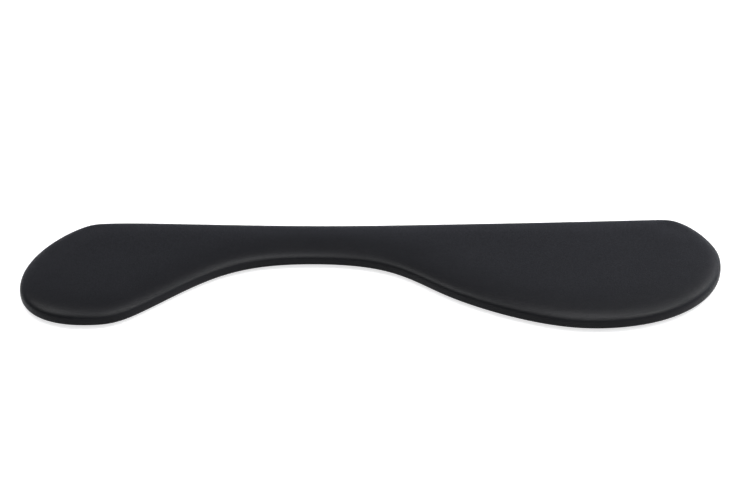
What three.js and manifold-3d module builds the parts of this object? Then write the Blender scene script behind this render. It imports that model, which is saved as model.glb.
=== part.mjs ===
// Contoured wrist rest: a one-piece leather cover over a foam pad and a plywood board.
// Millimetres. X runs along the length, Y towards the back edge and Z up. The origin is
// under the middle of the outline, on the surface that the grip pads stand on.
import * as THREE from 'three';
import { mergeVertices } from 'three/addons/utils/BufferGeometryUtils.js';
import Module from 'manifold-3d';

const wasm = await Module();
wasm.setup();

// ---- Driving dimensions --------------------------------------------------------------

// Outer edge of the cover seen from above, anticlockwise. Each knot has its place, the
// heading of the edge there in degrees, and the reach of the curve's two handles.
const OUTLINE = [
  { spot: 'back left', x: -289, y: 93, heading: 193, before: 33, after: 20 },
  { spot: 'left end', x: -345, y: -15, heading: 270, before: 54, after: 55 },
  { spot: 'left front', x: -274, y: -98, heading: 0, before: 41, after: 33 },
  { spot: 'left flank', x: -198, y: -47, heading: 49, before: 56, after: 60 },
  { spot: 'waist', x: -63, y: 25, heading: 0, before: 69, after: 84 },
  { spot: 'right flank', x: 73, y: -44, heading: -41, before: 53, after: 20 },
  { spot: 'right front', x: 206, y: -104, heading: 0, before: 57, after: 90 },
  { spot: 'right end', x: 345, y: 31, heading: 90, before: 63, after: 20 },
  { spot: 'back right', x: 300, y: 104, heading: 180, before: 30, after: 20 },
  { spot: 'back middle', x: -49, y: 91, heading: 180, before: 150, after: 150 },
];
const STEPS_PER_SPAN = 9;

// Heights of the layers, from the desk up.
const GRIP_PAD_HEIGHT = 1.6;
const LINING_THICKNESS = 0.8;
const WIRE = 0.6;
const LEATHER = 1.0;
const BOARD_THICKNESS = 6;
const EDGE_HEIGHT = 18;
const CROWN_HEIGHT = 21;

// Section of the edge, as depths inwards from the outline.
const ROLL_RADIUS = 4.5;
const MARGIN_DEPTH = 18;
const CROWN_DEPTH = 18.5;
const CROWN_SHARE_AT_MIDDLE = 0.65;
const COVER_GAP = 0.3;
const LINING_DEPTH = 8;
const SHOULDER_STEPS = 4;
const ROLL_STEPS = 3;

// Staples along the turned-under margin.
const STAPLE_COUNT = 30;
const STAPLE_WIDTH = 12.8;
const STAPLE_DEPTH = 12.5;
const STAPLE_BITE = 4;
const HOLE_GAP = 0.3;

// Grip pads: centres seen from above.
const GRIP_PAD_RADIUS = 10;
const GRIP_PAD_CHAMFER = 0.5;
const GRIP_PAD_SIDES = 20;
const GRIP_PAD_CENTRES = [
  [-304, 50], [-282, -58], [-180, 44], [-62, 58], [66, 40],
  [162, -60], [290, -48], [186, 66], [302, 70],
];

// ---- Heights that follow -------------------------------------------------------------

const LINING_Z = GRIP_PAD_HEIGHT;
const STAPLE_Z = LINING_Z + LINING_THICKNESS;
const COVER_Z = STAPLE_Z + WIRE;
const BOARD_Z = COVER_Z + LEATHER;
const FOAM_Z = BOARD_Z + BOARD_THICKNESS;
const ROLL_CENTRE_Z = COVER_Z + ROLL_RADIUS;
const SHOULDER_RADIUS = EDGE_HEIGHT - FOAM_Z;
const CORE_INSET = LEATHER + COVER_GAP;

// ---- Outline -------------------------------------------------------------------------

function outlinePath() {
  const ahead = (knot) => {
    const angle = THREE.MathUtils.degToRad(knot.heading);
    return [Math.cos(angle), Math.sin(angle)];
  };
  const path = new THREE.Shape();
  path.moveTo(OUTLINE[0].x, OUTLINE[0].y);
  OUTLINE.forEach((from, i) => {
    const to = OUTLINE[(i + 1) % OUTLINE.length];
    const [fromX, fromY] = ahead(from);
    const [toX, toY] = ahead(to);
    path.bezierCurveTo(
      from.x + fromX * from.after, from.y + fromY * from.after,
      to.x - toX * to.before, to.y - toY * to.before,
      to.x, to.y,
    );
  });
  return path;
}

const outline = outlinePath();

// Points round the outline, each with the direction that leads inwards.
const stations = outline.curves.flatMap((span) =>
  Array.from({ length: STEPS_PER_SPAN }, (_, step) => {
    const point = span.getPoint(step / STEPS_PER_SPAN);
    const heading = span.getTangent(step / STEPS_PER_SPAN);
    return { point, inwards: new THREE.Vector2(-heading.y, heading.x) };
  }));

// ---- Shape helpers -------------------------------------------------------------------

// A section is a list of [depth, height] points. Each becomes a ring round the outline,
// neighbouring rings are joined, and the first and the last ring are closed with a face.
function loftSection(section) {
  const vertices = [];
  for (const [depth, height] of section) {
    for (const { point, inwards } of stations) {
      vertices.push(point.x + inwards.x * depth, point.y + inwards.y * depth, height);
    }
  }
  const count = stations.length;
  const faces = [];
  for (let ring = 0; ring + 1 < section.length; ring += 1) {
    for (let i = 0; i < count; i += 1) {
      const a = ring * count + i;
      const b = ring * count + ((i + 1) % count);
      faces.push(a, b, b + count, a, b + count, a + count);
    }
  }
  addCap(faces, section[0][0], 0, false);
  addCap(faces, section.at(-1)[0], (section.length - 1) * count, true);
  const geometry = new THREE.BufferGeometry();
  geometry.setAttribute('position', new THREE.Float32BufferAttribute(vertices, 3));
  geometry.setIndex(faces);
  return geometry;
}

function addCap(faces, depth, firstVertex, facesUp) {
  const contour = stations.map(({ point, inwards }) =>
    point.clone().addScaledVector(inwards, depth));
  for (const triangle of THREE.ShapeUtils.triangulateShape(contour, [])) {
    const turnsLeft = THREE.ShapeUtils.area(triangle.map((i) => contour[i])) > 0;
    const ordered = turnsLeft === facesUp ? triangle : triangle.toReversed();
    faces.push(...ordered.map((i) => firstVertex + i));
  }
}

// Points of an arc in the section, from one angle to another. Zero degrees points out
// of the object and ninety degrees up.
function sectionArc(centreDepth, centreZ, radius, fromDegrees, toDegrees, steps) {
  return Array.from({ length: steps + 1 }, (_, step) => {
    const degrees = fromDegrees + ((toDegrees - fromDegrees) * step) / steps;
    const angle = THREE.MathUtils.degToRad(degrees);
    return [centreDepth - radius * Math.cos(angle), centreZ + radius * Math.sin(angle)];
  });
}

// The lower roll, at a distance inside the cover's outer face.
function rollSection(inset) {
  return sectionArc(ROLL_RADIUS, ROLL_CENTRE_Z, ROLL_RADIUS - inset, -90, 0, ROLL_STEPS);
}

// The shoulder, which starts level with the foam's lower face, and the crown.
function topSection(inset) {
  const crownRise = CROWN_HEIGHT - EDGE_HEIGHT;
  const middleDepth = (SHOULDER_RADIUS + CROWN_DEPTH) / 2;
  return [
    ...sectionArc(SHOULDER_RADIUS, FOAM_Z, SHOULDER_RADIUS - inset, 0, 90, SHOULDER_STEPS),
    [middleDepth, EDGE_HEIGHT + crownRise * CROWN_SHARE_AT_MIDDLE - inset],
    [CROWN_DEPTH, CROWN_HEIGHT - inset],
  ];
}

function toSolid(geometry) {
  const bare = geometry.clone();
  bare.deleteAttribute('normal');
  bare.deleteAttribute('uv');
  const merged = mergeVertices(bare);
  return new wasm.Manifold(new wasm.Mesh({
    numProp: 3,
    vertProperties: merged.attributes.position.array,
    triVerts: new Uint32Array(merged.index.array),
  }));
}

function toGeometry(solid) {
  const { vertProperties, triVerts } = solid.getMesh();
  const geometry = new THREE.BufferGeometry();
  geometry.setAttribute('position', new THREE.BufferAttribute(vertProperties, 3));
  geometry.setIndex(new THREE.BufferAttribute(triVerts, 1));
  return geometry;
}

function cutHoles(geometry, holes) {
  return toGeometry(holes.reduce((solid, hole) => solid.subtract(hole), toSolid(geometry)));
}

// ---- Staples -------------------------------------------------------------------------

const LEG_LENGTH = LEATHER + STAPLE_BITE;

// Places spaced evenly along the edge, moved in to the middle of the margin.
const staplePlaces = Array.from({ length: STAPLE_COUNT }, (_, i) => {
  const along = (i + 0.5) / STAPLE_COUNT;
  const point = outline.getPoint(along);
  const heading = outline.getTangent(along);
  point.x -= heading.y * STAPLE_DEPTH;
  point.y += heading.x * STAPLE_DEPTH;
  return { point, turn: heading.angle() };
});

function stapleGeometry() {
  const half = STAPLE_WIDTH / 2;
  const tip = WIRE + LEG_LENGTH;
  const profile = new THREE.Shape([
    [-half, 0], [half, 0], [half, tip], [half - WIRE, tip],
    [half - WIRE, WIRE], [WIRE - half, WIRE], [WIRE - half, tip], [-half, tip],
  ].map(([x, y]) => new THREE.Vector2(x, y)));
  const geometry = new THREE.ExtrudeGeometry(profile, { depth: WIRE, bevelEnabled: false });
  return geometry.translate(0, 0, -WIRE / 2).rotateX(Math.PI / 2);
}

// Square holes that clear the two legs of every staple.
function legHoles() {
  const width = WIRE + 2 * HOLE_GAP;
  const bottom = STAPLE_Z + WIRE / 2;
  const top = STAPLE_Z + WIRE + LEG_LENGTH + HOLE_GAP;
  const legOffset = (STAPLE_WIDTH - WIRE) / 2;
  return staplePlaces.flatMap(({ point, turn }) => [-1, 1].map((side) => {
    const hole = new THREE.BoxGeometry(width, width, top - bottom);
    hole.translate(side * legOffset, 0, (top + bottom) / 2);
    return toSolid(hole.rotateZ(turn).translate(point.x, point.y, 0));
  }));
}

// ---- Pieces --------------------------------------------------------------------------

const wristRest = new THREE.Group();
wristRest.name = 'wrist_rest';

function addPiece(name, geometry, material) {
  const mesh = new THREE.Mesh(geometry, new THREE.MeshStandardMaterial(material));
  mesh.name = name;
  wristRest.add(mesh);
  return mesh;
}

const holes = legHoles();

// Leather skin: the inner face down to the margin's edge, then the outer face back up.
addPiece('leather_cover', cutHoles(loftSection([
  ...topSection(LEATHER).reverse(),
  ...rollSection(LEATHER).reverse(),
  [MARGIN_DEPTH, BOARD_Z],
  [MARGIN_DEPTH, COVER_Z],
  ...rollSection(0),
  ...topSection(0),
]), holes), { color: 0x2b2c2e, roughness: 0.55, metalness: 0 });

// Foam: lies on the board, is cut flush with its edge and rounded over at the top.
addPiece('foam_pad', loftSection(topSection(CORE_INSET)),
  { color: 0xd9d3bd, roughness: 0.95, metalness: 0 });

// Board: its lower edge is rounded for the leather to turn round.
addPiece('core_board', cutHoles(loftSection([
  ...rollSection(CORE_INSET),
  [CORE_INSET, FOAM_Z],
]), holes), { color: 0xc7a577, roughness: 0.7, metalness: 0 });

addPiece('base_lining', loftSection([
  [LINING_DEPTH, LINING_Z],
  [LINING_DEPTH, STAPLE_Z],
]), { color: 0x1a1a1b, roughness: 0.95, metalness: 0 });

// Grip pads: round discs with a chamfered lower rim.
const padProfile = [
  [0, 0], [GRIP_PAD_RADIUS - GRIP_PAD_CHAMFER, 0], [GRIP_PAD_RADIUS, GRIP_PAD_CHAMFER],
  [GRIP_PAD_RADIUS, GRIP_PAD_HEIGHT], [0, GRIP_PAD_HEIGHT],
].map(([x, y]) => new THREE.Vector2(x, y));
GRIP_PAD_CENTRES.forEach(([x, y], i) => {
  const disc = new THREE.LatheGeometry(padProfile, GRIP_PAD_SIDES).rotateX(Math.PI / 2);
  const pad = addPiece(`grip_pad_${i + 1}`, disc,
    { color: 0x141415, roughness: 0.85, metalness: 0 });
  pad.position.set(x, y, 0);
});

staplePlaces.forEach(({ point, turn }, i) => {
  const staple = addPiece(`staple_${String(i + 1).padStart(2, '0')}`, stapleGeometry(),
    { color: 0xb4b7ba, roughness: 0.35, metalness: 1 });
  staple.position.set(point.x, point.y, STAPLE_Z);
  staple.rotation.z = turn;
});

export default wristRest;
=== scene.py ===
"""Contoured wrist rest: leather over foam over a plywood board, stapled and lined underneath.

Metres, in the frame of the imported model: X along the length, Y to the straight back edge, Z up.
"""
import math

import bpy
import numpy as np
from mathutils import Matrix, Vector
from mathutils.geometry import delaunay_2d_cdt


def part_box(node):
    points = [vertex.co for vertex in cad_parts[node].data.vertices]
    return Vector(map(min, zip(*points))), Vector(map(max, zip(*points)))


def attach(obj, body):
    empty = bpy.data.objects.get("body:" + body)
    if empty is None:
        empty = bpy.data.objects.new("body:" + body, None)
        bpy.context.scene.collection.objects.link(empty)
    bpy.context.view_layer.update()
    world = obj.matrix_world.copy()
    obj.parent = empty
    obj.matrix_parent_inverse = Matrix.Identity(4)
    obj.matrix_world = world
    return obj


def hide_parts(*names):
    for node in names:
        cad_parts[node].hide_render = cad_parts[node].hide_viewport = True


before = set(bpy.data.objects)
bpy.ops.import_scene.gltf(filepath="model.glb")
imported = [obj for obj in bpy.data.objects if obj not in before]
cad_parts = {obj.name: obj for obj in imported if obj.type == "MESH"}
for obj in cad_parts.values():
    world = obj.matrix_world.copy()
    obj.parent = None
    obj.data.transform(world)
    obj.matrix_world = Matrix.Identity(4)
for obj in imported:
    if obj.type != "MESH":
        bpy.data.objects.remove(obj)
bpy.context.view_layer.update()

MM = 0.001
BODY = "root"

# ---- Sizes that the pieces share -------------------------------------------------------

COVER_LOW, COVER_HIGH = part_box("leather_cover")
BOARD_LOW, BOARD_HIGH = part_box("core_board")
LINING_LOW, LINING_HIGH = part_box("base_lining")

LEATHER = 1.0 * MM
COVER_GAP = 0.3 * MM           # between the leather and what it covers
FILLING_INSET = LEATHER + COVER_GAP
FOAM_BOTTOM = BOARD_HIGH.z     # the shoulder starts level with it
PAD_TOP = 19.6 * MM            # height of the cover's top before it swells
CROWN_RISE = COVER_HIGH.z - PAD_TOP
FREE_HEIGHT = 17.5 * MM        # above it the skin is free to swell, and below it the board holds it
HOLD_BAND = 2.0 * MM
ROLL_RADIUS = 4.5 * MM         # lower edge, where the leather turns under
MARGIN_DEPTH = 18.0 * MM       # how far the leather reaches in under the board
LINING_DEPTH = LINING_LOW.x - COVER_LOW.x
LINING_BORDER = 2.0 * MM       # even strip along the lining's edge
LOBE_FRONT = 38.0 * MM         # how far in the top falls off towards the edge, round the lobes
LOBE_BACK = 13.0 * MM
WAIST_FRONT = 48.0 * MM        # the same in the bay and behind it
WAIST_BACK = 18.0 * MM
WAIST_X = -0.050
WAIST_REACH = 0.088
FALL_FULLNESS = 2.45           # 2 makes the fall-off an ellipse, and more makes it fuller
TOP_DEPTH = 13.0 * MM          # where the rings round the edge give way to an even grid
CROWN_PRESSURE = 2.5
SWELL_FRAMES = 20
RIPPLE_PASSES = 6

OUTLINE_HEIGHT = 10.0 * MM     # where the CAD cover's side is upright
WELD = 0.01 * MM               # nearer than this, two CAD vertices are one
LEVEL = 0.02 * MM              # nearer than this, a vertex is at the height asked for
CURVE_STEPS = 16               # between neighbouring CAD vertices
WEIGHT_PASSES = 40             # smoothing of the spacing along the outline
STATIONS = 320
CORNER_CROWDING = 20.0 * MM    # draws the stations together where the outline turns tightly
GRID_CELL = 5.5 * MM
GRID_GAP = 0.7 * GRID_CELL     # least distance from a grid point to the ring round it
MARGIN_RINGS = 3
ROLL_STEPS = 5
TOP_STEPS = 9

PAD_RINGS = 6
PAD_RING_WIDTH = 1.1 * MM
PAD_GROOVE = 0.35 * MM

STAPLE_WIDTH = 12.8 * MM
STAPLE_WIRE = 0.6 * MM
STAPLE_BEND = 0.7 * MM
WIRE_SIDES = 10
BEND_STEPS = 5
PLY = 1.2 * MM                 # thickness of one layer of the board

CAMERA_TARGET = Vector((-6, -3, 10)) * MM
CAMERA_DISTANCE = 1.7
CAMERA_ELEVATION = 28.0
CAMERA_LIFT = 0.9623           # degrees by which the camera looks over the target
CAMERA_LENS = 84.33

# Height of a direction's end on a unit sphere, from the horizon to straight up, and how bright the sky
# is there.
SKY = [(0.0, 0.50), (0.25, 0.32), (0.45, 0.36), (0.60, 0.08), (0.85, 0.10), (0.97, 0.60)]
SKY_TINT = (0.93, 0.96, 1.14)
SKY_SLANT = 0.9                # how much brighter the sky is to the right, and darker to the left
FLOOR_COLOUR = (0.60, 0.60, 0.60, 1)
BACKDROP = 0.90                # what the camera sees of the sky
FLOOR_GLOW = 0.72              # seen by the camera alone, so it casts no light on the rest
# Place, size and radiance of each softbox.
SOFTBOXES = {
    "overhead softbox": ((0.18, -0.08, 1.50), (1.70, 0.60), 4.2),
    "front softbox": ((0.35, -1.05, 1.28), (1.70, 0.42), 2.4),
    "left softbox": ((-0.98, 0.12, 1.22), (1.00, 0.90), 3.4),
    "right softbox": ((1.00, -0.10, 1.22), (0.60, 0.60), 7.5),
    "rear right softbox": ((1.20, 0.72, 0.78), (0.55, 0.60), 3.5),
}


# ---- Selecting and editing ---------------------------------------------------------------

def deselect_all():
    for other in bpy.context.selected_objects:
        other.select_set(False)


def make_active(obj):
    deselect_all()
    obj.select_set(True)
    bpy.context.view_layer.objects.active = obj


def select_vertices(obj, wanted):
    """Enters edit mode with only the wanted vertices selected."""
    bpy.ops.object.mode_set(mode="EDIT")
    bpy.ops.mesh.select_mode(type="VERT")
    bpy.ops.mesh.select_all(action="DESELECT")
    bpy.ops.object.mode_set(mode="OBJECT")
    for vertex in obj.data.vertices:
        vertex.select = bool(wanted(vertex))
    bpy.ops.object.mode_set(mode="EDIT")


def apply_modifier(obj, kind, **settings):
    make_active(obj)
    modifier = obj.modifiers.new(kind.title(), kind)
    for name, value in settings.items():
        setattr(modifier, name, value)
    bpy.ops.object.modifier_apply(modifier=modifier.name)


def subdivide_surface(obj, levels=1):
    apply_modifier(obj, "SUBSURF", levels=levels, render_levels=levels)


def coordinates(mesh):
    flat = np.empty(len(mesh.vertices) * 3)
    mesh.vertices.foreach_get("co", flat)
    return flat.reshape(-1, 3)


def set_coordinates(mesh, points):
    mesh.vertices.foreach_set("co", np.asarray(points, float).ravel())
    mesh.update()


# ---- Outline -----------------------------------------------------------------------------

def widest_ring(node, height):
    """The outer ring of the CAD cover's vertices at that height, in order round the outline."""
    copy = node.copy()
    copy.data = node.data.copy()
    bpy.context.scene.collection.objects.link(copy)
    make_active(copy)
    bpy.ops.object.mode_set(mode="EDIT")
    bpy.ops.mesh.select_all(action="SELECT")
    bpy.ops.mesh.remove_doubles(threshold=WELD)
    bpy.ops.object.mode_set(mode="OBJECT")
    mesh = copy.data
    level = {v.index for v in mesh.vertices if abs(v.co.z - height) < LEVEL}
    neighbours = {i: [] for i in level}
    for edge in mesh.edges:
        a, b = edge.vertices
        if a in level and b in level:
            neighbours[a].append(b)
            neighbours[b].append(a)
    start = min(level, key=lambda i: mesh.vertices[i].co.x)
    ring = [start]
    last, here = None, start
    while True:
        ahead = [i for i in neighbours[here] if i != last]
        last, here = here, ahead[0]
        if here == start:
            break
        ring.append(here)
    points = np.array([mesh.vertices[i].co.xy for i in ring])
    bpy.data.objects.remove(copy)
    following = np.roll(points, -1, 0)
    area = (points[:, 0] * following[:, 1] - following[:, 0] * points[:, 1]).sum()
    return points if area > 0 else points[::-1]


def smooth_curve(points, steps):
    """A smooth closed curve through the points, with this many steps between neighbours."""
    following = np.roll(points, -1, 0)
    chord = np.linalg.norm(following - points, axis=1)[:, None]
    slope = (following - points) / chord
    before = np.roll(chord, 1, 0)
    tangent = (slope * before + np.roll(slope, 1, 0) * chord) / (before + chord)
    handle_out = points + tangent * chord / 3
    handle_in = following - np.roll(tangent, -1, 0) * chord / 3
    t = np.linspace(0, 1, steps, endpoint=False)[None, :, None]
    curve = (
        (1 - t) ** 3 * points[:, None]
        + 3 * (1 - t) ** 2 * t * handle_out[:, None]
        + 3 * (1 - t) * t * t * handle_in[:, None]
        + t ** 3 * following[:, None]
    )
    return curve.reshape(-1, 2)


def turning(points):
    """How sharply a closed curve turns at each point, in radians a metre: left is positive."""
    ahead = np.roll(points, -1, 0) - points
    heading = np.unwrap(np.arctan2(ahead[:, 1], ahead[:, 0]))
    turn = (heading - np.roll(heading, 1) + math.pi) % (2 * math.pi) - math.pi
    return turn / np.linalg.norm(ahead, axis=1)


def make_stations(ring):
    """Points round the outline and the way in at each, closer together at the tight turns."""
    curve = smooth_curve(ring, CURVE_STEPS)
    length = np.linalg.norm(np.roll(curve, -1, 0) - curve, axis=1)
    weight = length * (1 + CORNER_CROWDING * np.abs(turning(curve)))
    for _ in range(WEIGHT_PASSES):
        weight = (np.roll(weight, 1) + weight * 2 + np.roll(weight, -1)) / 4
    along = np.concatenate([[0], np.cumsum(weight)])
    closed = np.vstack([curve, curve[:1]])
    wanted = np.arange(STATIONS) / STATIONS * along[-1]
    points = np.stack([np.interp(wanted, along, closed[:, k]) for k in (0, 1)], 1)
    ahead = np.roll(points, -1, 0) - np.roll(points, 1, 0)
    ahead /= np.linalg.norm(ahead, axis=1)[:, None]
    return points, np.stack([-ahead[:, 1], ahead[:, 0]], 1)


OUTLINE, INWARDS = make_stations(widest_ring(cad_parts["leather_cover"], OUTLINE_HEIGHT))


# ---- Section of the padded edge ------------------------------------------------------------

def fall_reach():
    """How far in the top falls off at every station: far at the front, and farthest in the bay."""
    waist = np.exp(-((OUTLINE[:, 0] - WAIST_X) / WAIST_REACH) ** 2)
    front = (1 + INWARDS[:, 1]) / 2
    lobes = LOBE_FRONT * front + LOBE_BACK * (1 - front)
    return lobes + waist * (WAIST_FRONT * front + WAIST_BACK * (1 - front) - lobes)


REACH = fall_reach()


def top_height(places, inset):
    """Height of the domed top over each place, at a distance inside the cover's outer face."""
    ahead = np.roll(OUTLINE, -1, 0) - OUTLINE
    offset = places[:, None] - OUTLINE[None]
    along = np.clip((offset * ahead).sum(2) / (ahead ** 2).sum(1), 0, 1)
    depth = np.linalg.norm(offset - along[:, :, None] * ahead, axis=2)
    reach = REACH + along * (np.roll(REACH, -1) - REACH)
    outward = np.clip(1 - (depth - inset) / (reach - inset), 0, 1)
    fullness = (1 - outward ** FALL_FULLNESS).clip(0) ** (1 / FALL_FULLNESS)
    return FOAM_BOTTOM + (PAD_TOP - FOAM_BOTTOM - inset) * fullness.min(1)


def ring_at(depth, height):
    """A ring of points that far inside the outline. Both values may differ by station."""
    depth = np.broadcast_to(np.asarray(depth, float), (STATIONS,))
    height = np.broadcast_to(np.asarray(height, float), (STATIONS,))
    flat = OUTLINE + INWARDS * depth[:, None]
    return np.column_stack([flat, height])


def arc_angles(low, high, steps):
    return np.radians(np.linspace(low, high, steps + 1))


def roll_rings():
    """The lower roll, from the underside out and up to the side."""
    centre_z = COVER_LOW.z + ROLL_RADIUS
    return [
        ring_at(ROLL_RADIUS - ROLL_RADIUS * math.cos(a), centre_z + ROLL_RADIUS * math.sin(a))
        for a in arc_angles(-90, 0, ROLL_STEPS)
    ]


def top_rings(inset):
    """The outer rings of the top, from the side in to the grid. dome() gives them their height."""
    return [
        ring_at(TOP_DEPTH - (TOP_DEPTH - inset) * math.cos(a), FOAM_BOTTOM)
        for a in arc_angles(0, 90, TOP_STEPS)
    ]


def dome(obj, top, inset):
    """Lifts the vertices of the top, a slice of them all, to the height of the domed top."""
    points = coordinates(obj.data)
    points[top, 2] = top_height(points[top, :2], inset)
    set_coordinates(obj.data, points)


def grid_cap(edge, first):
    """Fills a flat ring with square cells and a band that joins them to it, facing up.

    first is the number that the next new vertex gets. The ring itself is numbered 0 to STATIONS - 1.
    """
    low, high = edge[:, :2].min(0), edge[:, :2].max(0)
    columns, rows = np.meshgrid(*(np.arange(low[k], high[k], GRID_CELL) for k in (0, 1)))
    lattice = np.column_stack([columns.ravel(), rows.ravel()])
    gap = np.linalg.norm(lattice[:, None] - edge[None, :, :2], axis=2).min(1)
    lattice = lattice[gap > GRID_GAP]
    flat = [Vector(p) for p in np.vstack([edge[:, :2], lattice])]
    loop = [(i, (i + 1) % STATIONS) for i in range(STATIONS)]
    points, _, triangles, sources, _, _ = delaunay_2d_cdt(flat, loop, [], 1, 1e-7)
    number, extra = {}, []
    for i in sorted({i for triangle in triangles for i in triangle}):
        source = sources[i][0]
        number[i] = source if source < STATIONS else first + len(extra)
        if source >= STATIONS:
            extra.append((*points[i], edge[0, 2]))
    return extra, [tuple(number[i] for i in triangle) for triangle in triangles]


def loft(name, rings, close_start=False):
    """Walls between neighbouring rings and a gridded top on the last, and on the first if asked."""
    vertices = np.vstack(rings).tolist()
    count = STATIONS
    faces = [
        (r * count + i, r * count + (i + 1) % count,
         (r + 1) * count + (i + 1) % count, (r + 1) * count + i)
        for r in range(len(rings) - 1)
        for i in range(count)
    ]
    walls = len(vertices)
    last = walls - count
    extra, cap = grid_cap(rings[-1], walls)
    faces += [tuple(i + last if i < count else i for i in face) for face in cap]
    vertices += extra
    if close_start:
        extra, cap = grid_cap(rings[0], len(vertices))
        faces += [face[::-1] for face in cap]
        vertices += extra
    mesh = bpy.data.meshes.new(name)
    mesh.from_pydata(vertices, [], faces)
    obj = bpy.data.objects.new(name, mesh)
    bpy.context.scene.collection.objects.link(obj)
    make_active(obj)
    bpy.ops.object.mode_set(mode="EDIT")
    bpy.ops.mesh.select_all(action="SELECT")
    bpy.ops.mesh.tris_convert_to_quads()
    bpy.ops.object.mode_set(mode="OBJECT")
    select_vertices(obj, lambda v: v.index >= walls)
    bpy.ops.mesh.vertices_smooth(factor=0.5, repeat=6)
    bpy.ops.object.mode_set(mode="OBJECT")
    return obj


def finish_piece(obj, material, slot, *nodes):
    make_active(obj)
    obj.data.materials.clear()
    obj.data.materials.append(material)
    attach(obj, BODY)
    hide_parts(*nodes)


# ---- Swelling of the pad -------------------------------------------------------------------

def inflate(obj):
    """Cloth simulation: pressure lifts the skin where it is free. Returns how far each vertex rose."""
    rest = coordinates(obj.data)
    pinned = obj.vertex_groups.new(name="pinned")
    for index, height in enumerate(rest[:, 2]):
        weight = min(max((FREE_HEIGHT - height) / HOLD_BAND, 0), 1)
        if weight > 0:
            pinned.add([index], weight, "REPLACE")
    modifier = obj.modifiers.new("Cloth", "CLOTH")
    settings = modifier.settings
    settings.quality = 8
    settings.mass = 0.02
    settings.vertex_group_mass = pinned.name
    settings.tension_stiffness = 25
    settings.compression_stiffness = 25
    settings.shear_stiffness = 15
    settings.bending_stiffness = 2
    settings.use_pressure = True
    settings.uniform_pressure_force = CROWN_PRESSURE
    settings.effector_weights.gravity = 0
    modifier.point_cache.frame_start = 1
    modifier.point_cache.frame_end = SWELL_FRAMES
    scene = bpy.context.scene
    for step in range(1, SWELL_FRAMES + 1):
        scene.frame_set(step)
    swollen = obj.evaluated_get(bpy.context.evaluated_depsgraph_get())
    rise = coordinates(swollen.data)[:, 2] - rest[:, 2]
    obj.modifiers.remove(modifier)
    obj.vertex_groups.remove(pinned)
    scene.frame_set(1)
    return rise


def spread(obj, values):
    """Averages a value per vertex with its neighbours, to take out ripples."""
    edges = np.array([edge.vertices for edge in obj.data.edges])
    count = np.bincount(edges.ravel(), minlength=len(values))
    for _ in range(RIPPLE_PASSES):
        total = np.bincount(edges[:, 0], values[edges[:, 1]], len(values))
        total += np.bincount(edges[:, 1], values[edges[:, 0]], len(values))
        values = (values + total / np.maximum(count, 1)) / 2
    return values


def crown_lift(obj):
    """How far each vertex of the skin swells up: stopped softly at the height of the crown."""
    height = coordinates(obj.data)[:, 2]
    free = np.clip((height - FREE_HEIGHT + HOLD_BAND) / HOLD_BAND, 0, 1)
    rise = np.maximum(inflate(obj), 0)
    return spread(obj, CROWN_RISE * np.tanh(rise / CROWN_RISE) * free)


def lift(obj, rise):
    points = coordinates(obj.data)
    points[:, 2] += rise
    set_coordinates(obj.data, points)


# ---- Padded pieces and the board -----------------------------------------------------------

def make_cover():
    """One skin: the margin under the board, the lower roll, the side, the shoulder and the top."""
    margin = np.linspace(MARGIN_DEPTH, ROLL_RADIUS, MARGIN_RINGS, endpoint=False)
    skin = loft("leather_skin", [
        *(ring_at(depth, COVER_LOW.z) for depth in margin),
        *roll_rings(),
        *top_rings(0),
    ])
    below_top = STATIONS * (MARGIN_RINGS + ROLL_STEPS + 1)
    dome(skin, slice(below_top, None), 0)
    rise = crown_lift(skin)
    lift(skin, rise)
    subdivide_surface(skin)
    apply_modifier(skin, "SOLIDIFY", thickness=LEATHER, offset=-1, use_even_offset=True)
    bpy.ops.object.shade_smooth()
    finish_piece(skin, leather_material(), "black_leather", "leather_cover")
    return skin, rise[below_top:]


def make_foam(top_rise):
    """The pad under the skin: the same crown, and flat where it lies on the board."""
    foam = loft("foam_slab", top_rings(FILLING_INSET), close_start=True)
    dome(foam, slice(len(top_rise)), FILLING_INSET)
    rise = np.zeros(len(foam.data.vertices))
    rise[:len(top_rise)] = top_rise
    lift(foam, rise)
    bpy.ops.object.shade_smooth_by_angle(angle=math.radians(40))
    finish_piece(foam, foam_material(), "pad_foam", "foam_pad")
    return foam


def make_lining():
    """A thin non-woven sheet, cut a little smaller than the board and laid over the staples."""
    lining = loft("lining_sheet", [
        ring_at(LINING_DEPTH, LINING_HIGH.z),
        ring_at(LINING_DEPTH + LINING_BORDER, LINING_HIGH.z),
        ring_at(TOP_DEPTH, LINING_HIGH.z),
    ])
    thickness = LINING_HIGH.z - LINING_LOW.z
    apply_modifier(lining, "SOLIDIFY", thickness=thickness, offset=-1, use_even_offset=True)
    bpy.ops.object.shade_smooth_by_angle(angle=math.radians(40))
    finish_piece(lining, lining_material(), "lining_felt", "base_lining")
    return lining


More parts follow.
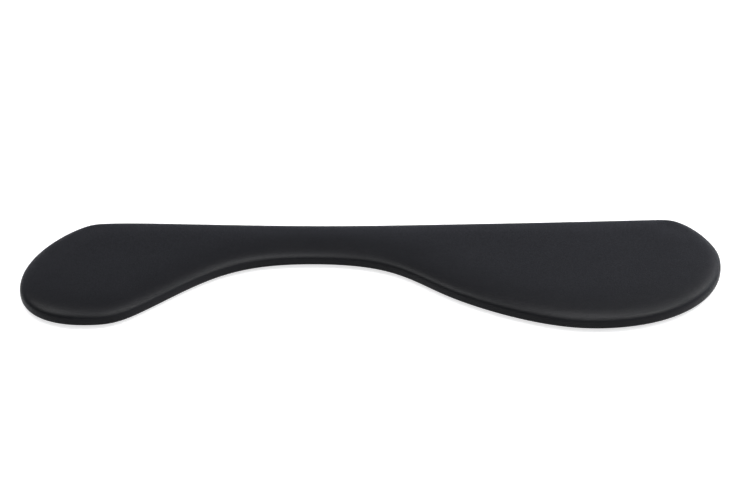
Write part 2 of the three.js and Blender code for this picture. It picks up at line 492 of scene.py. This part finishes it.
def make_board():
    """The plywood: its outline is filled, drawn down to its thickness and rounded over below."""
    outline = ring_at(FILLING_INSET, BOARD_HIGH.z)
    mesh = bpy.data.meshes.new("ply_board")
    mesh.from_pydata(outline.tolist(), [(i, (i + 1) % STATIONS) for i in range(STATIONS)], [])
    board = bpy.data.objects.new("ply_board", mesh)
    bpy.context.scene.collection.objects.link(board)
    make_active(board)
    bpy.ops.object.mode_set(mode="EDIT")
    bpy.ops.mesh.select_all(action="SELECT")
    bpy.ops.mesh.edge_face_add()
    drop = BOARD_LOW.z - BOARD_HIGH.z
    bpy.ops.mesh.extrude_region_move(TRANSFORM_OT_translate={"value": (0, 0, drop)})
    bpy.ops.mesh.select_all(action="SELECT")
    bpy.ops.mesh.normals_make_consistent(inside=False)
    bpy.ops.object.mode_set(mode="OBJECT")
    select_vertices(board, lambda v: v.co.z < BOARD_LOW.z + 0.1 * MM)
    bpy.ops.mesh.select_mode(type="EDGE")
    bpy.ops.mesh.bevel(offset=ROLL_RADIUS - FILLING_INSET, segments=ROLL_STEPS, affect="EDGES")
    bpy.ops.object.mode_set(mode="OBJECT")
    bpy.ops.object.shade_smooth_by_angle(angle=math.radians(30))
    finish_piece(board, ply_material(), "board_ply", "core_board")


# ---- Grip pads and staples -----------------------------------------------------------------

def place_copy(pattern, name, place, turn=0.0):
    obj = pattern.copy()
    obj.data = pattern.data.copy()
    obj.name = obj.data.name = name
    obj.data.transform(Matrix.Translation(place) @ Matrix.Rotation(turn, 4, "Z"))
    bpy.context.scene.collection.objects.link(obj)
    return obj


def nodes_named(start):
    return sorted(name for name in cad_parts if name.startswith(start))


def grip_pad_pattern(radius, height):
    """A moulded disc with a rounded rim and raised rings on its lower face."""
    bpy.ops.mesh.primitive_cylinder_add(
        vertices=72, radius=radius, depth=height, location=(0, 0, height / 2))
    pad = bpy.context.object
    bpy.ops.object.transform_apply(location=True, rotation=True, scale=True)
    select_vertices(pad, lambda v: v.co.z < height / 2)
    for step in range(PAD_RINGS):
        bpy.ops.mesh.inset(thickness=PAD_RING_WIDTH)
        groove = PAD_GROOVE if step % 2 == 0 else -PAD_GROOVE
        bpy.ops.mesh.extrude_region_move(TRANSFORM_OT_translate={"value": (0, 0, groove)})
    bpy.ops.object.mode_set(mode="OBJECT")
    apply_modifier(pad, "BEVEL", width=0.15 * MM, segments=2, limit_method="ANGLE")
    bpy.ops.object.shade_smooth_by_angle(angle=math.radians(35))
    return pad


def make_grip_pads():
    low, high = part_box("grip_pad_1")
    pattern = grip_pad_pattern((high.x - low.x) / 2, high.z - low.z)
    rubber = rubber_material()
    for node in nodes_named("grip_pad_"):
        low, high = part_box(node)
        centre = (low + high) / 2
        pad = place_copy(pattern, node.replace("grip_pad", "rubber_foot"), (centre.x, centre.y, low.z))
        finish_piece(pad, rubber, "grip_rubber", node)
    bpy.data.objects.remove(pattern)


def long_direction(node):
    """The angle of a CAD node's longest direction seen from above."""
    points = coordinates(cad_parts[node].data)[:, :2]
    _, axes = np.linalg.eigh(np.cov((points - points.mean(0)).T))
    return math.atan2(axes[1, 1], axes[0, 1])


def turn_wire(x, z):
    """Carries the selected end of the wire through a right angle about that centre."""
    bpy.ops.mesh.spin(steps=BEND_STEPS, angle=math.pi / 2, center=(x, 0, z), axis=(0, 1, 0))


def staple_pattern(height):
    """One wire bent twice: a round section drawn down a leg, along the crown and up the other leg."""
    bend = STAPLE_BEND
    radius = STAPLE_WIRE / 2
    left = -STAPLE_WIDTH / 2 + radius
    straight = STAPLE_WIDTH - STAPLE_WIRE - 2 * bend
    lower = radius + bend
    bpy.ops.mesh.primitive_circle_add(
        vertices=WIRE_SIDES, radius=radius, fill_type="NGON", location=(left, 0, height))
    staple = bpy.context.object
    bpy.ops.object.transform_apply(location=True, rotation=True, scale=True)
    bpy.ops.object.mode_set(mode="EDIT")
    bpy.ops.mesh.select_all(action="SELECT")
    bpy.ops.mesh.extrude_region_move(TRANSFORM_OT_translate={"value": (0, 0, lower - height)})
    turn_wire(left + bend, lower)
    bpy.ops.mesh.extrude_region_move(TRANSFORM_OT_translate={"value": (straight, 0, 0)})
    turn_wire(-left - bend, lower)
    bpy.ops.mesh.extrude_region_move(TRANSFORM_OT_translate={"value": (0, 0, height - lower)})
    bpy.ops.mesh.select_all(action="SELECT")
    bpy.ops.mesh.remove_doubles(threshold=0.000001)
    bpy.ops.mesh.normals_make_consistent(inside=False)
    bpy.ops.object.mode_set(mode="OBJECT")
    bpy.ops.object.shade_smooth_by_angle(angle=math.radians(50))
    return staple


def make_staples():
    low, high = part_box("staple_01")
    pattern = staple_pattern(high.z - low.z)
    steel = staple_material()
    for node in nodes_named("staple_"):
        low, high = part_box(node)
        centre = (low + high) / 2
        name = node.replace("staple", "wire_staple")
        staple = place_copy(pattern, name, (centre.x, centre.y, low.z), long_direction(node))
        finish_piece(staple, steel, "staple_wire", node)
    bpy.data.objects.remove(pattern)


# ---- Shader building -----------------------------------------------------------------------

def add_node(tree, kind, inputs=None, **settings):
    """A shader node with its settings made and its inputs set, or linked where given an output."""
    node = tree.nodes.new("ShaderNode" + kind)
    for name, value in settings.items():
        setattr(node, name, value)
    for socket, value in (inputs or {}).items():
        if isinstance(value, bpy.types.NodeSocket):
            tree.links.new(value, node.inputs[socket])
        else:
            node.inputs[socket].default_value = value
    return node


def calculate(tree, operation, *values):
    return add_node(tree, "Math", dict(enumerate(values)), operation=operation).outputs[0]


def remap(tree, value, low, high, to_low=0.0, to_high=1.0):
    inputs = {"Value": value, "From Min": low, "From Max": high, "To Min": to_low, "To Max": to_high}
    return add_node(tree, "MapRange", inputs, interpolation_type="SMOOTHSTEP").outputs["Result"]


def blend_colours(tree, share, first, second):
    inputs = {"Factor": share, "A": first, "B": second}
    node = tree.nodes.new("ShaderNodeMix")
    node.data_type = "RGBA"
    for name, value in inputs.items():
        socket = next(s for s in node.inputs if s.name == name and s.enabled)
        if isinstance(value, bpy.types.NodeSocket):
            tree.links.new(value, socket)
        else:
            socket.default_value = value
    return next(s for s in node.outputs if s.enabled)


def start_group(name, inputs, outputs):
    """A node group with float and vector inputs, and one value for each output."""
    group = bpy.data.node_groups.new(name, "ShaderNodeTree")
    for socket, default in inputs.items():
        kind = "NodeSocketVector" if default is None else "NodeSocketFloat"
        made = group.interface.new_socket(socket, in_out="INPUT", socket_type=kind)
        if default is not None:
            made.default_value = default
    for socket in outputs:
        group.interface.new_socket(socket, in_out="OUTPUT", socket_type="NodeSocketFloat")
    source = group.nodes.new("NodeGroupInput")
    result = group.nodes.new("NodeGroupOutput")
    return group, source.outputs, result.inputs


def pebble_group():
    """Rounded pebbles with creases between them, as on grained leather and on moulded rubber."""
    group, source, result = start_group(
        "pebble grain", {"Vector": None, "Cells per metre": 900.0, "Softness": 0.25}, ["Height", "Crease"])
    bend = add_node(group, "TexNoise", {
        "Vector": source["Vector"], "Scale": 260.0, "Detail": 2.0})
    offset = add_node(
        group, "VectorMath", {0: bend.outputs["Color"], 1: (0.5, 0.5, 0.5)}, operation="SUBTRACT")
    shift = add_node(group, "VectorMath", {0: offset.outputs[0], "Scale": 0.0012}, operation="SCALE")
    place = add_node(group, "VectorMath", {0: source["Vector"], 1: shift.outputs[0]}, operation="ADD")
    cells = add_node(group, "TexVoronoi", {
        "Vector": place.outputs[0], "Scale": source["Cells per metre"], "Randomness": 0.9},
        feature="DISTANCE_TO_EDGE")
    crease = remap(group, cells.outputs["Distance"], 0.0, source["Softness"], 1.0, 0.0)
    group.links.new(crease, result["Crease"])
    group.links.new(calculate(group, "SUBTRACT", 1.0, crease), result["Height"])
    return group


def mottle_group():
    """Slow, cloudy change over a surface, centred on a half."""
    group, source, result = start_group("mottle", {"Vector": None, "Patches per metre": 12.0}, ["Tone"])
    noise = add_node(group, "TexNoise", {
        "Vector": source["Vector"], "Scale": source["Patches per metre"], "Detail": 4.0, "Roughness": 0.6})
    group.links.new(remap(group, noise.outputs["Fac"], 0.25, 0.75), result["Tone"])
    return group


def fibre_group():
    """Fine fibres that lie mostly one way: along X, stretched by the given amount."""
    group, source, result = start_group(
        "fibres", {"Vector": None, "Fibres per metre": 900.0, "Stretch": 12.0}, ["Height", "Tone"])
    squeeze = calculate(group, "DIVIDE", 1.0, source["Stretch"])
    scale = add_node(group, "CombineXYZ", {"X": squeeze, "Y": 1.0, "Z": 1.0})
    place = add_node(group, "VectorMath", {0: source["Vector"], 1: scale.outputs[0]}, operation="MULTIPLY")
    fine = add_node(group, "TexNoise", {
        "Vector": place.outputs[0], "Scale": source["Fibres per metre"], "Detail": 3.0, "Distortion": 0.6})
    group.links.new(fine.outputs["Fac"], result["Height"])
    group.links.new(remap(group, fine.outputs["Fac"], 0.35, 0.7), result["Tone"])
    return group


def dust_group():
    """Dust that settles in specks and films where a surface faces up."""
    group, source, result = start_group("dust", {"Vector": None, "Amount": 0.3}, ["Mask"])
    facing = add_node(group, "NewGeometry").outputs["Normal"]
    up = add_node(group, "SeparateXYZ", {0: facing}).outputs["Z"]
    film = add_node(group, "TexNoise", {"Vector": source["Vector"], "Scale": 35.0, "Detail": 5.0})
    specks = add_node(group, "TexNoise", {"Vector": source["Vector"], "Scale": 700.0, "Detail": 2.0})
    lying = remap(group, up, 0.5, 1.0)
    patchy = remap(group, film.outputs["Fac"], 0.4, 0.75, 0.15, 0.6)
    dotted = remap(group, specks.outputs["Fac"], 0.66, 0.74)
    both = calculate(group, "MAXIMUM", patchy, dotted)
    mask = calculate(group, "MULTIPLY", calculate(group, "MULTIPLY", both, lying), source["Amount"])
    group.links.new(mask, result["Mask"])
    return group


PEBBLES, MOTTLE, FIBRES, DUST = pebble_group(), mottle_group(), fibre_group(), dust_group()


def use_group(tree, group, **inputs):
    node = tree.nodes.new("ShaderNodeGroup")
    node.node_tree = group
    for name, value in inputs.items():
        socket = node.inputs[name.replace("_", " ")]
        if isinstance(value, bpy.types.NodeSocket):
            tree.links.new(value, socket)
        else:
            socket.default_value = value
    return node.outputs


def start_material(name, **fixed):
    """A material with its shader's fixed values set. Returns it, its tree, shader and place."""
    material = bpy.data.materials.new(name)
    material.use_nodes = True
    tree = material.node_tree
    shader = tree.nodes["Principled BSDF"]
    for socket, value in fixed.items():
        shader.inputs[socket.replace("_", " ")].default_value = value
    place = add_node(tree, "TexCoord").outputs["Object"]
    return material, tree, shader, place


def add_bump(tree, shader, height, distance, strength):
    bump = add_node(tree, "Bump", {"Height": height, "Distance": distance, "Strength": strength})
    tree.links.new(bump.outputs["Normal"], shader.inputs["Normal"])


# ---- Materials -----------------------------------------------------------------------------

LEATHER_COLOUR = (0.0072, 0.0074, 0.0084, 1)
LEATHER_WORN = (0.012, 0.0124, 0.0136, 1)
# painted shade: the darker colour laid into the grain's creases
LEATHER_CREASE_SHADE = (0.0045, 0.0046, 0.0052, 1)
DUST_COLOUR = (0.10, 0.10, 0.105, 1)


def leather_material():
    """Matt black leather: pebbled grain with painted shade in its creases, fine pores, slow changes of tone
    and a trace of dust.
    """
    material, tree, shader, place = start_material("black leather", Specular_IOR_Level=0.17)
    grain = use_group(tree, PEBBLES, Vector=place, Cells_per_metre=520.0, Softness=0.26)
    pores = use_group(tree, PEBBLES, Vector=place, Cells_per_metre=2600.0, Softness=0.35)
    mottle = use_group(tree, MOTTLE, Vector=place, Patches_per_metre=14.0)
    dust = use_group(tree, DUST, Vector=place, Amount=0.02)
    # painted shade: the grain's creases are darkened in the base colour
    crease_shade = calculate(tree, "MULTIPLY", grain["Crease"], 0.7)
    colour = blend_colours(tree, crease_shade, LEATHER_COLOUR, LEATHER_CREASE_SHADE)
    worn = blend_colours(tree, calculate(tree, "MULTIPLY", mottle["Tone"], 0.12), colour, LEATHER_WORN)
    tree.links.new(blend_colours(tree, dust["Mask"], worn, DUST_COLOUR), shader.inputs["Base Color"])
    polish = remap(tree, mottle["Tone"], 0.0, 1.0, 0.33, 0.29)
    rough = calculate(tree, "ADD", polish, calculate(tree, "MULTIPLY", grain["Crease"], 0.15))
    tree.links.new(rough, shader.inputs["Roughness"])
    fine = calculate(tree, "MULTIPLY", pores["Height"], 0.3)
    add_bump(tree, shader, calculate(tree, "ADD", grain["Height"], fine), 0.07 * MM, 0.65)
    return material


def foam_material():
    """Cream open-cell foam."""
    material, tree, shader, place = start_material("pad foam", Roughness=0.95, Specular_IOR_Level=0.2)
    cells = use_group(tree, PEBBLES, Vector=place, Cells_per_metre=1400.0, Softness=0.5)
    mottle = use_group(tree, MOTTLE, Vector=place, Patches_per_metre=9.0)
    yellowed = blend_colours(tree, mottle["Tone"], (0.72, 0.68, 0.55, 1), (0.66, 0.59, 0.42, 1))
    shade = calculate(tree, "MULTIPLY", cells["Crease"], 0.35)
    tree.links.new(blend_colours(tree, shade, yellowed, (0.38, 0.33, 0.22, 1)), shader.inputs["Base Color"])
    add_bump(tree, shader, cells["Height"], 0.2 * MM, 0.8)
    return material


def ply_material():
    """Birch plywood: long grain on the faces and layered plies on the edge."""
    material, tree, shader, place = start_material("birch ply", Specular_IOR_Level=0.35)
    grain = use_group(tree, FIBRES, Vector=place, Fibres_per_metre=420.0, Stretch=22.0)
    mottle = use_group(tree, MOTTLE, Vector=place, Patches_per_metre=20.0)
    figure = calculate(tree, "ADD", calculate(tree, "MULTIPLY", grain["Tone"], 0.6),
                       calculate(tree, "MULTIPLY", mottle["Tone"], 0.4))
    face = blend_colours(tree, figure, (0.62, 0.44, 0.25, 1), (0.45, 0.28, 0.13, 1))
    height = add_node(tree, "SeparateXYZ", {0: place}).outputs["Z"]
    layer = calculate(tree, "PINGPONG", calculate(tree, "SUBTRACT", height, BOARD_LOW.z), PLY)
    cross = remap(tree, layer, 0.5 * MM, 0.7 * MM)
    edge = blend_colours(tree, cross, (0.55, 0.37, 0.19, 1), (0.27, 0.16, 0.08, 1))
    normal = add_node(tree, "NewGeometry").outputs["Normal"]
    tilt = calculate(tree, "ABSOLUTE", add_node(tree, "SeparateXYZ", {0: normal}).outputs["Z"])
    flat = remap(tree, tilt, 0.85, 0.95)
    tree.links.new(blend_colours(tree, flat, edge, face), shader.inputs["Base Color"])
    tree.links.new(remap(tree, grain["Tone"], 0.0, 1.0, 0.55, 0.75), shader.inputs["Roughness"])
    add_bump(tree, shader, grain["Height"], 0.05 * MM, 0.5)
    return material


def lining_material():
    """Black needle-punched cloth: matted fibres and tiny punch marks."""
    material, tree, shader, place = start_material("lining felt", Roughness=0.95, Specular_IOR_Level=0.15)
    along = use_group(tree, FIBRES, Vector=place, Fibres_per_metre=2600.0, Stretch=2.2)
    punch = use_group(tree, PEBBLES, Vector=place, Cells_per_metre=420.0, Softness=0.3)
    dust = use_group(tree, DUST, Vector=place, Amount=0.2)
    cloth = blend_colours(tree, along["Tone"], (0.012, 0.012, 0.013, 1), (0.022, 0.022, 0.024, 1))
    tree.links.new(blend_colours(tree, dust["Mask"], cloth, DUST_COLOUR), shader.inputs["Base Color"])
    height = calculate(tree, "ADD", along["Height"], calculate(tree, "MULTIPLY", punch["Height"], 0.4))
    add_bump(tree, shader, height, 0.15 * MM, 0.8)
    return material


def rubber_material():
    """Matt black rubber with a fine moulded grain and pale scuffs."""
    material, tree, shader, place = start_material("grip rubber", Specular_IOR_Level=0.35)
    skin = use_group(tree, PEBBLES, Vector=place, Cells_per_metre=3000.0, Softness=0.6)
    scuff = use_group(tree, MOTTLE, Vector=place, Patches_per_metre=160.0)
    worn = calculate(tree, "MULTIPLY", scuff["Tone"], 0.5)
    colour = blend_colours(tree, worn, (0.008, 0.008, 0.009, 1), (0.030, 0.030, 0.031, 1))
    tree.links.new(colour, shader.inputs["Base Color"])
    tree.links.new(remap(tree, scuff["Tone"], 0.0, 1.0, 0.62, 0.85), shader.inputs["Roughness"])
    add_bump(tree, shader, skin["Height"], 0.03 * MM, 0.5)
    return material


def staple_material():
    """Galvanised wire with drawing marks."""
    material, tree, shader, place = start_material("staple wire", Metallic=1.0)
    marks = use_group(tree, FIBRES, Vector=place, Fibres_per_metre=5000.0, Stretch=10.0)
    zinc = use_group(tree, MOTTLE, Vector=place, Patches_per_metre=900.0)
    tree.links.new(blend_colours(tree, zinc["Tone"], (0.55, 0.57, 0.60, 1), (0.42, 0.43, 0.45, 1)),
                   shader.inputs["Base Color"])
    tree.links.new(remap(tree, marks["Tone"], 0.0, 1.0, 0.25, 0.5), shader.inputs["Roughness"])
    add_bump(tree, shader, marks["Height"], 0.01 * MM, 0.4)
    return material


# ---- Studio --------------------------------------------------------------------------------

def make_floor():
    """A pale sheet that looks white, with only a trace of shadow under the rest."""
    bpy.ops.mesh.primitive_plane_add(size=40)
    floor = bpy.context.object
    floor.name = "floor"
    material, tree, shader, _ = start_material("pale floor", Roughness=0.9, Specular_IOR_Level=0.1)
    shader.inputs["Base Color"].default_value = FLOOR_COLOUR
    shader.inputs["Emission Color"].default_value = (1, 1, 1, 1)
    seen = add_node(tree, "LightPath").outputs["Is Camera Ray"]
    tree.links.new(calculate(tree, "MULTIPLY", seen, FLOOR_GLOW), shader.inputs["Emission Strength"])
    floor.data.materials.append(material)


def make_sky():
    """A pale studio, darkest between the horizon and overhead. The camera sees a plain backdrop instead."""
    world = bpy.data.worlds.new("studio")
    bpy.context.scene.world = world
    world.use_nodes = True
    tree = world.node_tree
    direction = add_node(tree, "TexCoord").outputs["Generated"]
    part = add_node(tree, "SeparateXYZ", {0: direction}).outputs
    ramp = add_node(tree, "ValToRGB", {0: part["Z"]})
    stops = ramp.color_ramp.elements
    stops[0].position, stops[1].position = SKY[0][0], SKY[-1][0]
    for position, _ in SKY[1:-1]:
        stops.new(position)
    for stop, (_, value) in zip(stops, SKY):
        stop.color = (*(value * share for share in SKY_TINT), 1)
    slant = calculate(tree, "MULTIPLY_ADD", part["X"], SKY_SLANT, 1.0)
    lit = calculate(tree, "MAXIMUM", slant, 0.0)
    seen = add_node(tree, "LightPath").outputs["Is Camera Ray"]
    backdrop = (BACKDROP, BACKDROP, BACKDROP, 1)
    background = tree.nodes["Background"].inputs
    tree.links.new(blend_colours(tree, seen, ramp.outputs[0], backdrop), background["Color"])
    tree.links.new(add_node(tree, "Mix", {0: seen, 2: lit, 3: 1.0}).outputs[0], background["Strength"])


def add_softbox(name, place, size, radiance):
    """A rectangular lamp that faces the middle of the rest."""
    data = bpy.data.lights.new(name, "AREA")
    data.shape = "RECTANGLE"
    data.size, data.size_y = size
    data.energy = radiance * math.pi * size[0] * size[1]
    light = bpy.data.objects.new(name, data)
    bpy.context.scene.collection.objects.link(light)
    light.location = place
    light.rotation_euler = (-Vector(place)).to_track_quat("-Z", "Y").to_euler()


def make_camera():
    data = bpy.data.cameras.new("camera")
    camera = bpy.data.objects.new("camera", data)
    bpy.context.scene.collection.objects.link(camera)
    elevation = math.radians(CAMERA_ELEVATION)
    back = Vector((0, -math.cos(elevation), math.sin(elevation)))
    camera.location = CAMERA_TARGET + back * CAMERA_DISTANCE
    camera.rotation_euler = (math.radians(90 - CAMERA_ELEVATION + CAMERA_LIFT), 0, 0)
    data.lens = CAMERA_LENS
    data.clip_end = 100
    bpy.context.scene.camera = camera


# ---- Assembly ------------------------------------------------------------------------------

bpy.context.scene.view_settings.view_transform = "Standard"
make_camera()
make_floor()
make_sky()
for softbox, settings in SOFTBOXES.items():
    add_softbox(softbox, *settings)

cover, top_rise = make_cover()
foam = make_foam(top_rise)
make_board()
lining = make_lining()
make_grip_pads()
make_staples()
